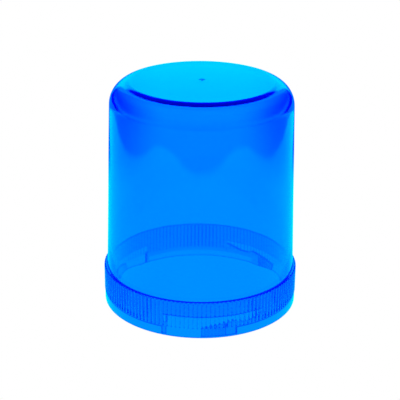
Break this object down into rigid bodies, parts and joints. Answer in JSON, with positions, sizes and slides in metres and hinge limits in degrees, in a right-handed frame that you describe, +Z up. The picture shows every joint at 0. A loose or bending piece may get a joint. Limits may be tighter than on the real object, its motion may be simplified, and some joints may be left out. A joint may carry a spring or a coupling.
{
  "type": "beacon lens",
  "caption": "Transparent dome lens of a warning beacon, with a rounded shoulder, a fluted grip band and bayonet tracks inside its rim.",
  "frame": {"origin": "centre of the rim's plane, on the dome's axis", "axes": "+Z up along the dome's axis to the crown; the first track's entry opens towards -Y"},
  "size_m": [0.15, 0.15, 0.176],
  "materials": {
    "lens_plastic": "transparent blue, polished as moulded"
  },
  "bodies": {
    "root": {"lens": "lens_plastic"}
  },
  "joints": []
}
